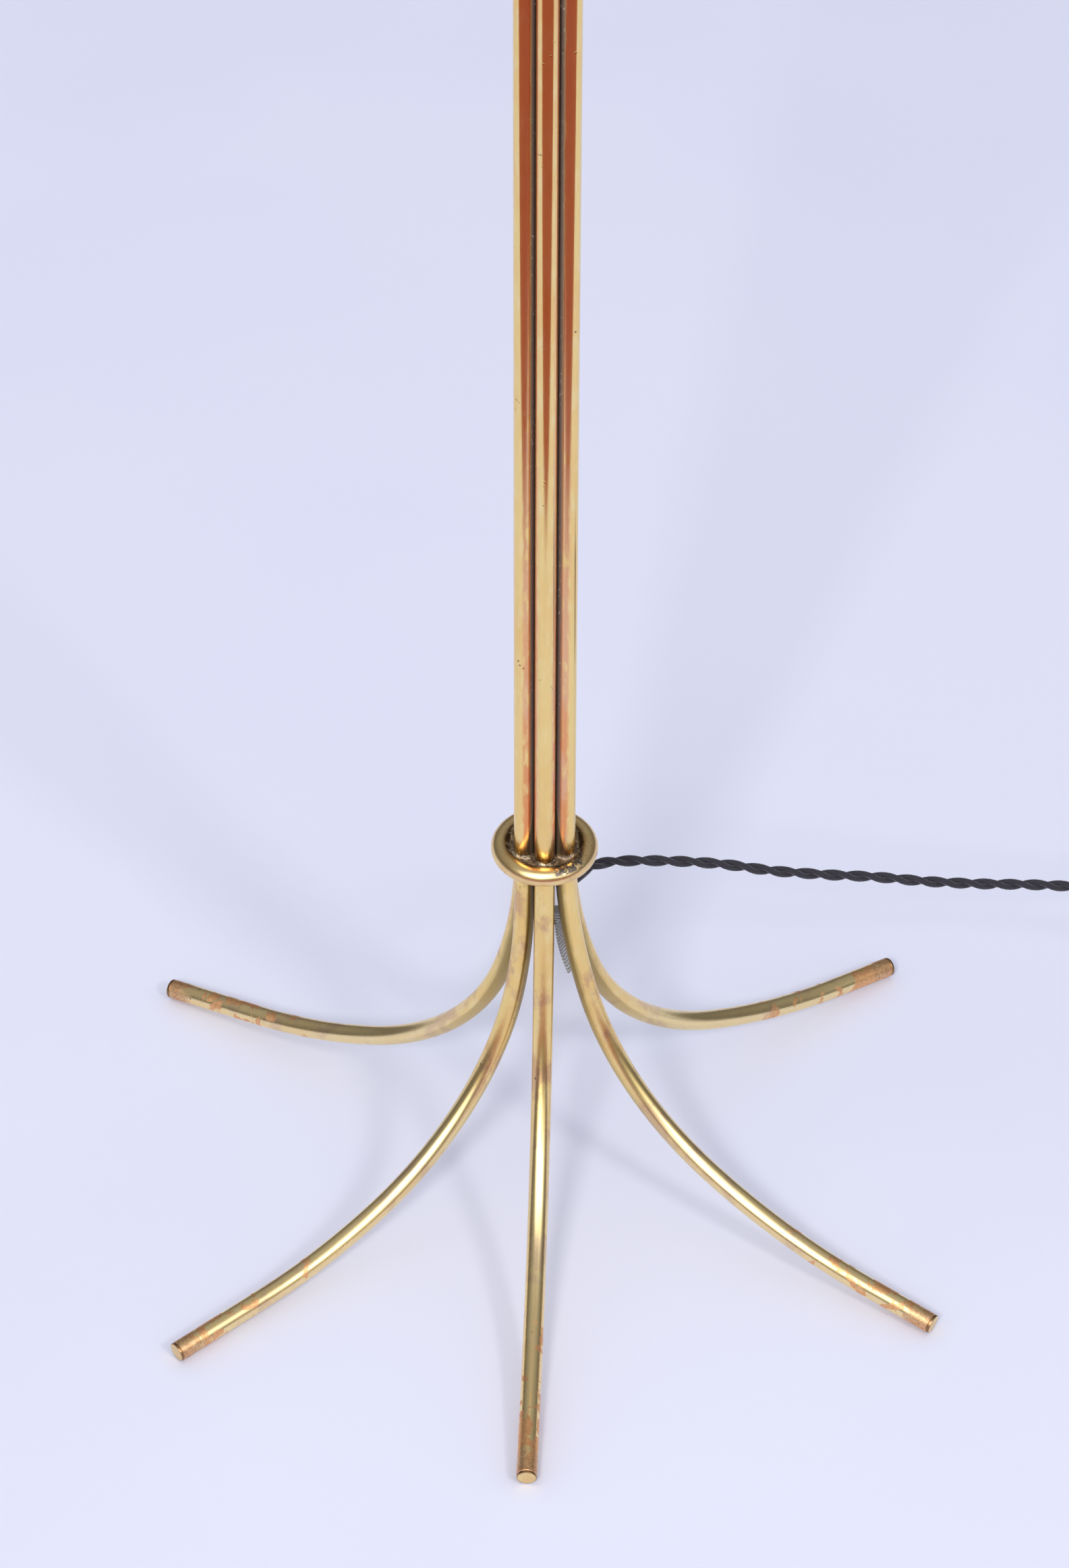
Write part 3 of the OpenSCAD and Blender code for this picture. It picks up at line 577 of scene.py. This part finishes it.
def moulded(name, base, light, rough, grain):
    """Moulded resin or plastic with a faint marble and grain."""
    b = Mat(name)
    cloud = b.noise(b.obj, 90, 4, 0.6, 1.2)
    fine = b.noise(b.obj, 1700, 3, 0.6)
    col = b.mix(b.step(cloud, 0.32, 0.70), base, light)
    col = b.mix(b.times(b.step(fine, 0.60, 0.75), 0.25), col, tuple(min(1, q * 1.6) for q in light))
    return b.finish(Base_Color=col, Roughness=b.range(fine, rough, rough + 0.16),
                    Normal=b.bump(fine, grain, 0.0001))


def porcelain():
    """Glazed steatite with small specks."""
    b = Mat("porcelain")
    cloud = b.noise(b.obj, 70, 3)
    speck = b.times(b.step(b.cells(b.obj, 640), 0.16, 0.06), 0.5)
    col = b.mix(b.step(cloud, 0.35, 0.65), (0.86, 0.83, 0.76), (0.78, 0.74, 0.65))
    col = b.mix(speck, col, (0.40, 0.34, 0.26))
    return b.finish(Base_Color=col, Roughness=b.range(cloud, 0.10, 0.24),
                    Coat_Weight=0.4, Coat_Roughness=0.05, Normal=b.bump(b.noise(b.obj, 500, 2), 0.08, 0.0001))


def glass(name, tint, shade, rough):
    """Clear glass, slightly uneven, with a few seeds."""
    b = Mat(name)
    seed = b.step(b.cells(b.obj, 300), 0.10, 0.04)
    cloud = b.noise(b.obj, 40, 2)
    col = b.mix(cloud, tint, shade)
    return b.finish(Base_Color=col, Roughness=b.range(cloud, rough, rough + 0.02),
                    Transmission_Weight=1.0, IOR=1.5,
                    Normal=b.bump(b.plus(seed, b.noise(b.obj, 25, 2)), 0.05, 0.0003))


def strap():
    """Woven hook-and-loop tape with loose hairs."""
    b = Mat("hook_loop")
    fuzz = b.noise(b.obj, 2600, 4, 0.75)
    hair = b.cells(b.obj, 1500)
    col = b.mix(b.step(fuzz, 0.4, 0.7), (0.030, 0.030, 0.033), (0.090, 0.088, 0.095))
    return b.finish(Base_Color=col, Roughness=b.range(fuzz, 0.75, 0.95), Sheen_Weight=0.4,
                    Normal=b.bump(b.plus(fuzz, hair), 0.6, 0.0003))


def powder_coat():
    """Powder coat with an orange-peel surface."""
    b = Mat("white_wire")
    peel = b.noise(b.obj, 1300, 3, 0.55)
    cloud = b.noise(b.obj, 30, 3)
    col = b.mix(b.step(cloud, 0.35, 0.65), (0.80, 0.78, 0.72), (0.72, 0.69, 0.61))
    return b.finish(Base_Color=col, Roughness=b.range(peel, 0.28, 0.46), Normal=b.bump(peel, 0.18, 0.0001))


MATS = {
    "brass_tube": tube_brass(),
    "brass_cap": cap_brass(),
    "brass_core": plain_brass("brass_core", (0.62, 0.42, 0.19), (0.40, 0.25, 0.11), 0.22),
    "brass_ring": ring_brass(),
    "hard_solder": solder(),
    "brass_turned": plain_brass("brass_turned", (0.86, 0.64, 0.29), (0.76, 0.52, 0.22), 0.14, 0.25),
    "brass_holder": plain_brass("brass_holder", (0.84, 0.62, 0.29), (0.74, 0.50, 0.22), 0.22, 0.05, 0.06),
    "brass_thin": plain_brass("brass_thin", (0.88, 0.68, 0.33), (0.78, 0.56, 0.26), 0.16),
    "black_rubber": rubber(),
    "clear_nylon": nylon(),
    "fabric_flex": flex_cloth(),
    "porcelain": porcelain(),
    "steel": metal("steel", (0.62, 0.62, 0.60), (0.52, 0.51, 0.49), 0.24),
    "bakelite": moulded("bakelite", (0.050, 0.024, 0.014), (0.095, 0.045, 0.024), 0.14, 0.05),
    "bulb_cap_metal": metal("bulb_cap_metal", (0.72, 0.66, 0.50), (0.62, 0.56, 0.42), 0.20),
    "clear_glass": glass("clear_glass", (1.0, 1.0, 1.0), (0.98, 0.99, 0.98), 0.0),
    "stem_glass": glass("stem_glass", (0.93, 0.97, 0.95), (0.86, 0.92, 0.90), 0.03),
    "tungsten": metal("tungsten", (0.34, 0.33, 0.32), (0.22, 0.21, 0.21), 0.32),
    "white_wire": powder_coat(),
    "shade_cloth": linen(),
    "hook_loop": strap(),
    "plug_plastic": moulded("plug_plastic", (0.020, 0.020, 0.022), (0.032, 0.032, 0.034), 0.34, 0.25),
    "nickel_pin": metal("nickel_pin", (0.74, 0.71, 0.65), (0.64, 0.61, 0.55), 0.12, 0.08),
}
for part in frame["record"]["subparts"]:
    node = NODES[part["node"]]
    for material_slot in node.material_slots:
        material_slot.material = MATS[part["material_slot"]]


# ------------------------------------------------------------------ legs and their end discs
def leg_azimuth(i):
    """The front leg is first, then to the right and round."""
    return math.radians(-90 + 60 * i)


def leg_bends(i):
    """Stations down a leg's bends: [out, up, angle from straight down], from where the bending starts."""
    t, p, bends = 0.0, np.zeros(2), []
    for r, a in zip(BEND_R[i], BEND_A[i]):
        steps = int(a / BEND_STEP) + 1
        for k in range(0 if not bends else 1, steps + 1):
            q = t + math.radians(a) * k / steps
            bends.append((*(p + r * np.array([math.cos(t) - math.cos(q), math.sin(t) - math.sin(q)])), q))
        p = np.array(bends[-1][:2])
        t = bends[-1][2]
    return bends


def leg_frame(i, bends):
    """Where a leg's bending starts, with its foot's end on the floor, and the ways out and across."""
    t = bends[-1][2]
    end_up = bends[-1][1] - TAILS[i] * math.cos(t)
    az = leg_azimuth(i)
    turn = az + math.radians(TURNS[i])
    base = np.array([BUNDLE_R * math.cos(az), BUNDLE_R * math.sin(az), TUBE_R * math.sin(t) - end_up])
    e_out = np.array([math.cos(turn), math.sin(turn), 0])
    e_side = np.array([-math.sin(turn), math.cos(turn), 0])
    return base, e_out, e_side


def leg_ring(leg, station, r, n):
    """A ring of points square to the leg at one of its stations."""
    base, e_out, e_side = leg
    o, up, t = station
    centre = base + o * e_out + np.array([0, 0, up])
    normal = math.cos(t) * e_out + math.sin(t) * np.array([0, 0, 1.0])
    return circle(centre, normal, e_side, r, r, n)


def build_leg(i):
    """The tube, open at the top with its bore, and the disc that closes the foot."""
    bends = leg_bends(i)
    leg = leg_frame(i, bends)
    t_end = bends[-1][2]
    p_last = np.array(bends[-1][:2])
    d = np.array([math.sin(t_end), -math.cos(t_end)])
    tail = [(*(p_last + d * s), t_end) for s in np.linspace(6, TAILS[i] - PLUG_T - EASE, 4)]
    tip = (*(p_last + d * (TAILS[i] - PLUG_T)), t_end)
    top = STEM_TOP - leg[0][2]
    straight = [(0.0, u, 0.0) for u in (top - EASE, top * 0.66, top * 0.33, 12.0)]
    path = [(0.0, top, 0.0)] + straight + bends + tail + [tip]
    ends = (0, len(path) - 1)
    outer = [leg_ring(leg, s, TUBE_R - (EASE if k in ends else 0), TUBE_SIDES) for k, s in enumerate(path)]
    inner = [leg_ring(leg, s, BORE_R, TUBE_SIDES) for s in reversed(path)]
    out_up = np.array([s[:2] for s in path])
    arc = np.r_[0, np.cumsum(np.linalg.norm(np.diff(out_up, axis=0), axis=1))]
    from_tip = (arc[-1] + PLUG_T - arc) * MM
    tube = outward(grid("tube_" + LEGS[i], outer + inner, list(from_tip) + list(from_tip[::-1]), True,
                        "brass_tube"))
    place(tube, instead_of=["leg_" + LEGS[i]])

    # the disc's profile: how far back from the foot's end, and the radius there
    profile = [(0.02, 0.9), (0.0, 3.4), (0.0, 4.55), (0.12, 4.82), (0.35, 4.93), (PLUG_T - 0.25, 4.93),
               (PLUG_T - 0.02, 4.7), (PLUG_T, 3.85), (PLUG_T + 7.6, 3.85), (PLUG_T + 8, 3.5)]
    rings = [leg_ring(leg, (*(p_last + d * (TAILS[i] - back)), t_end), r, 48) for back, r in profile]
    seam_from = [0.9, 3.4, 4.55, 4.82, 4.95, 5, 5, 5, 5, 5]
    disc = outward(grid("disc_" + LEGS[i], rings, [q * MM for q in seam_from], False, "brass_cap"))
    place(disc, instead_of=["foot_plug_" + LEGS[i]])


for i in range(6):
    build_leg(i)


# ------------------------------------------------------------------ binding rings and their solder
def hill(x, y, seed):
    """Smooth lumps between -1 and 1."""
    k = np.array([[0.61, 0.27], [-0.43, 0.83], [1.31, -0.57], [0.93, 1.49], [-1.9, 0.8], [2.3, 2.1]])
    return sum(np.sin(a * x + b * y + seed * (j + 1.7)) / (1 + 0.5 * j) for j, (a, b) in enumerate(k)) / 2.4


def build_ring(name, z, node):
    """A rod bent round, a few hundredths of a millimetre out of true."""
    n_round, n_rod = 180, 40
    upwards = np.array([0, 0, 1.0])
    rings = []
    for j in range(n_round):
        a = 2 * math.pi * j / n_round
        e = np.array([math.cos(a), math.sin(a), 0])
        sag = 0.06 * math.sin(3 * a + 1.1) + 0.04 * math.sin(7 * a)
        centre = RING_R * e + np.array([0, 0, z + sag])
        rings.append(circle(centre, e, upwards, ROD_R, ROD_R * 0.99, n_rod))
    s = [2 * math.pi * j / n_round * RING_R * MM for j in range(n_round)]
    place(outward(grid(name, rings, s, True, "brass_ring")), instead_of=[node])


def build_solder(name, z, node, seed):
    """A lumpy web between the tubes that climbs a little up each tube and up the ring."""
    around = 288
    top, under = 1.9, -0.9          # the web's plain faces, from the ring's middle
    ring_wall, climb_width = 18.2, 0.8
    tubes = [(BUNDLE_R * math.cos(leg_azimuth(i)), BUNDLE_R * math.sin(leg_azimuth(i))) for i in range(6)]
    a = np.linspace(0, 2 * math.pi, around, endpoint=False)
    radii = np.linspace(6.5, 19.3, 34)
    rings = []
    for side, rs in (("top", radii), ("under", radii[::-1])):
        for r in rs:
            x, y = r * np.cos(a), r * np.sin(a)
            gap = np.min([np.abs(np.hypot(x - tx, y - ty) - TUBE_R) for tx, ty in tubes], axis=0)
            lip = 2.4 * np.exp(-gap / 0.75) + 1.6 * math.exp(-max(0.0, ring_wall - r) / climb_width)
            if side == "top":
                h = z + top + lip + 0.45 * hill(x, y, seed)
            else:
                h = z + under - 0.4 * lip + 0.35 * hill(x, y, seed + 3)
            rings.append(np.stack([x, y, h], 1))
    s = [float(q) * MM for q in np.r_[radii, radii[::-1]]]
    web = outward(grid(name, rings, s, True, "hard_solder"))
    place(web, instead_of=[node])


build_ring("ring_low", RING_Z, "lower_ring")
build_ring("ring_high", UPPER_RING_Z, "upper_ring")
build_solder("solder_low", RING_Z, "lower_braze", 0.4)
build_solder("solder_high", UPPER_RING_Z, "upper_braze", 2.1)

# ------------------------------------------------------------------ twisted flex
# from under the stem, out between the back legs, level to the right, and down to the coil
ROUTE = [(0, 0, 179), (0, 0, 176), (0.7, 1.3, 167.8), (2.8, 4.8, 160.6), (6, 10.4, 155.2),
         (9.9, 17.1, 152.5), (12.8, 30, 152.8), (17.3, 42, 154.3), (25, 50, 153.3), (36, 56, 151),
         (62, 59.5, 148), (90, 63.5, 142), (116, 67, 134), (143, 70.5, 128), (169, 74, 123),
         (196, 77.5, 116.5), (224, 81.5, 111), (252, 85.5, 106.5), (280, 90, 100), (307, 94.5, 90),
         (332, 99.5, 75), (355, 104.5, 56), (375, 109, 36), (392, 113.5, 20), (407, 117.5, 8.5),
         (420, 120, 3.4)]
COIL = (440.0, 76.0)
COIL_OUT, COIL_IN = 45.0, 24.0
LOW, HIGH = 3.0, 9.0    # the heights of the coil's two layers
TURNS_IN, TURNS_OUT = 3.5, 3.75
COIL_STEPS = 72         # points in a turn
PLUG_TOP = (485.0, 44.0, 8.0)
LEAD_STEPS = 8          # points between two of the route's


def coil_point(degrees, r, z):
    a = math.radians(degrees)
    return COIL[0] + r * math.cos(a), COIL[1] + r * math.sin(a), z


def coil_points():
    """Round the coil clockwise: inwards along the floor, then outwards on top of the first layer."""
    pts = []
    for k in range(int(TURNS_IN * COIL_STEPS) + 1):
        f = k / (TURNS_IN * COIL_STEPS)
        climb = max(0.0, (f - 0.90) / 0.10) ** 1.5
        pts.append(coil_point(90 - 360 * TURNS_IN * f, COIL_OUT + (COIL_IN - COIL_OUT) * f,
                              LOW + (HIGH - LOW) * climb))
    for k in range(1, int(TURNS_OUT * COIL_STEPS) + 1):
        f = k / (TURNS_OUT * COIL_STEPS)
        pts.append(coil_point(-90 - 360 * TURNS_OUT * f, COIL_IN + (COIL_OUT - COIL_IN) * f, HIGH))
    return pts


tail = smooth_curve([(485, 76, 9), (485, 66, 9), (485, 52, 8), PLUG_TOP], 6)
coil = np.array(coil_points())
lead = smooth_curve(ROUTE + [(433, 121, 3)], LEAD_STEPS)
centre_line, cord_s = evenly(np.vstack([lead[:-1], coil, tail[1:]]), 1.5)


def build_flex():
    """Two braided strands that wind round the centre line, closer together at the flex's ends."""
    t, u, v = carried_frames(centre_line)
    pitch, off = 27.0, 1.42         # length of one full twist, and a strand's distance from the middle
    wide, high, sides = 1.72, 1.50, 10
    parts = []
    for strand in range(2):
        turn = 2 * math.pi * cord_s / pitch + math.pi * strand
        e = np.cos(turn)[:, None] * u + np.sin(turn)[:, None] * v
        f = np.cross(t, e)
        close = np.clip(np.minimum(cord_s, cord_s[-1] - cord_s) / 6, 0.55, 1)
        rings = [circle(c + e_ * off * q, e_, f_, high, wide, sides)
                 for c, e_, f_, q in zip(centre_line, e, f, close)]
        parts.append(outward(grid("flex_strand", rings, list(cord_s * MM), False, "fabric_flex")))
    bpy.ops.object.select_all(action="DESELECT")
    for o in parts:
        o.select_set(True)
    bpy.context.view_layer.objects.active = parts[0]
    bpy.ops.object.join()
    parts[0].name = "flex"
    return parts[0]


flex = build_flex()
place(flex, instead_of=["cord", "cord_coil", "cord_tail"])

# ------------------------------------------------------------------ shade cover
SHADE_Z, SHADE_H, SHADE_R0, SHADE_R1 = 1330.0, 280.0, 210.0, 130.0


def shade_profile():
    """Out over the shell's outside, with a rolled tape at each edge, and back down its inside."""
    def r(z):
        return SHADE_R0 + (SHADE_R1 - SHADE_R0) * (z - SHADE_Z) / SHADE_H
    z0, z1 = SHADE_Z, SHADE_Z + SHADE_H
    out = [(r(z0) - 0.9, z0), (r(z0) - 0.1, z0 + 0.1), (r(z0) + 0.5, z0 + 0.8), (r(z0) + 0.6, z0 + 2),
           (r(z0 + 9) + 0.55, z0 + 9), (r(z0 + 9.6) + 0.1, z0 + 9.6)]
    out += [(r(z), z) for z in np.linspace(z0 + 12, z1 - 12, 12)]
    out += [(r(z1 - 9.6) + 0.1, z1 - 9.6), (r(z1 - 9) + 0.55, z1 - 9), (r(z1) + 0.6, z1 - 2),
            (r(z1) + 0.4, z1 - 0.6), (r(z1) - 0.2, z1), (r(z1) - 1.0, z1 - 0.1),
            (r(z1 - 1) - 1.3, z1 - 1), (r(z1 - 9) - 1.3, z1 - 9), (r(z1 - 9.6) - 1.0, z1 - 9.6)]
    out += [(r(z) - 1.0, z) for z in np.linspace(z1 - 12, z0 + 12, 12)]
    out += [(r(z0 + 9.6) - 1.0, z0 + 9.6), (r(z0 + 9) - 1.3, z0 + 9), (r(z0 + 1) - 1.3, z0 + 1),
            (r(z0) - 1.2, z0 + 0.2)]
    return out


cover = lathe("linen_cover", shade_profile(), 192, "shade_cloth")
place(cover, instead_of=["shade_cover"])

# ------------------------------------------------------------------ floor, room and light
FLOOR_EDGE = -0.531     # the pale cloth ends here, and a reddish floor goes on towards the viewer


def plane(name, lo, hi, z):
    """A level rectangle for the stage."""
    corners = [(lo[0], lo[1], z), (hi[0], lo[1], z), (hi[0], hi[1], z), (lo[0], hi[1], z)]
    mesh = bpy.data.meshes.new(name)
    mesh.from_pydata(corners, [], [(0, 1, 2, 3)])
    obj = bpy.data.objects.new(name, mesh)
    bpy.context.scene.collection.objects.link(obj)
    return obj


def floor_cloth():
    """Pale backdrop cloth, nearly plain."""
    b = Mat("floor_cloth")
    drift = b.noise(b.obj, 2.2, 3, 0.5)
    thread = b.noise(b.obj, 900, 2, 0.6)
    col = b.mix(b.step(drift, 0.35, 0.65), (0.770, 0.785, 0.900), (0.795, 0.805, 0.910))
    return b.finish(Base_Color=col, Roughness=b.range(thread, 0.86, 0.96), Specular_IOR_Level=0.15,
                    Normal=b.bump(b.noise(b.obj, 5, 2), 0.15, 0.004))


def reddish_glow():
    """Light from a reddish floor, as the brass reflects it."""
    b = Mat("floor_beyond")
    grain = b.noise(b.scaled(b.obj, (1, 0.1, 1)), 14, 3)
    col = b.mix(grain, (0.33, 0.10, 0.085), (0.40, 0.135, 0.12))
    glow = b.add("Emission", {"Color": col, "Strength": 1.0})
    b.tree.links.new(glow.outputs[0], b.add("OutputMaterial").inputs[0])
    return b.mat


floor = plane("floor", (-20, -20), (20, 20), -0.0003)
floor.data.materials.append(floor_cloth())
boards = plane("floor_beyond", (-3.2, -4.2), (3.2, FLOOR_EDGE), 0.0004)
boards.data.materials.append(reddish_glow())
boards.visible_camera = boards.visible_diffuse = boards.visible_shadow = boards.visible_transmission = False


def lamp(name, at, to, size, watts, colour):
    """A square soft light at one place, pointed at another."""
    data = bpy.data.lights.new(name, "AREA")
    data.shape = "SQUARE"
    data.size = size
    data.energy = watts
    data.color = colour
    obj = bpy.data.objects.new(name, data)
    obj.location = at
    obj.rotation_euler = (Vector(to) - Vector(at)).to_track_quat("-Z", "Y").to_euler()
    bpy.context.scene.collection.objects.link(obj)


lamp("key", (-1.08, -3.91, 3.85), (0, 0, 0.2), 0.90, 93, (1.0, 0.98, 0.95))
lamp("side", (2.60, -3.11, 3.85), (0, 0, 0.2), 0.80, 50, (1.0, 0.98, 0.96))

world = bpy.data.worlds.new("room")
bpy.context.scene.world = world
world.use_nodes = True
world_tree = world.node_tree
world_tree.nodes.clear()
link = world_tree.links.new


def world_node(kind, **props):
    n = world_tree.nodes.new("ShaderNode" + kind)
    for k, q in props.items():
        setattr(n, k, q)
    return n


def background(colour):
    n = world_node("Background")
    n.inputs[0].default_value = (*colour, 1)
    return n


def either(ray, without, with_it):
    """One surface where the ray is of a kind, another where it isn't."""
    n = world_node("MixShader")
    link(rays.outputs[ray], n.inputs[0])
    link(without.outputs[0], n.inputs[1])
    link(with_it.outputs[0], n.inputs[2])
    return n


# what shiny metal sees: a dim room, paler overhead, and a broad soft panel round each light
way = world_node("TexCoord").outputs["Generated"]
height = world_node("SeparateXYZ")
link(way, height.inputs[0])
sky = world_node("ValToRGB")
link(height.outputs[2], sky.inputs[0])
stops = [(0.0, (0.10, 0.095, 0.09)), (0.30, (0.15, 0.145, 0.14)), (0.62, (0.27, 0.265, 0.26)),
         (0.84, (0.36, 0.36, 0.36)), (1.0, (0.46, 0.46, 0.47))]
while len(sky.color_ramp.elements) < len(stops):
    sky.color_ramp.elements.new(0.5)
for q, (at, col) in zip(sky.color_ramp.elements, stops):
    q.position = at
    q.color = (*col, 1)
lit = sky.outputs[0]
for towards, strength in (((-0.198, -0.716, 0.669), 2.2), ((0.476, -0.570, 0.669), 1.0)):
    near = world_node("VectorMath", operation="DOT_PRODUCT")
    link(way, near.inputs[0])
    near.inputs[1].default_value = towards
    soft = world_node("MapRange", interpolation_type="SMOOTHSTEP")
    link(near.outputs["Value"], soft.inputs["Value"])
    for at, q in zip(("From Min", "From Max", "To Min", "To Max"), (0.80, 0.97, 0.0, strength)):
        soft.inputs[at].default_value = q
    brighter = world_node("VectorMath", operation="ADD")
    link(lit, brighter.inputs[0])
    link(soft.outputs["Result"], brighter.inputs[1])
    lit = brighter.outputs["Vector"]
shiny = world_node("Background")
link(lit, shiny.inputs[0])

rays = world_node("LightPath")
soft_light = either("Is Glossy Ray", background((0.665, 0.685, 0.775)), shiny)
room = either("Is Camera Ray", soft_light, background((0.73, 0.745, 0.90)))
link(room.outputs[0], world_node("OutputWorld").inputs[0])
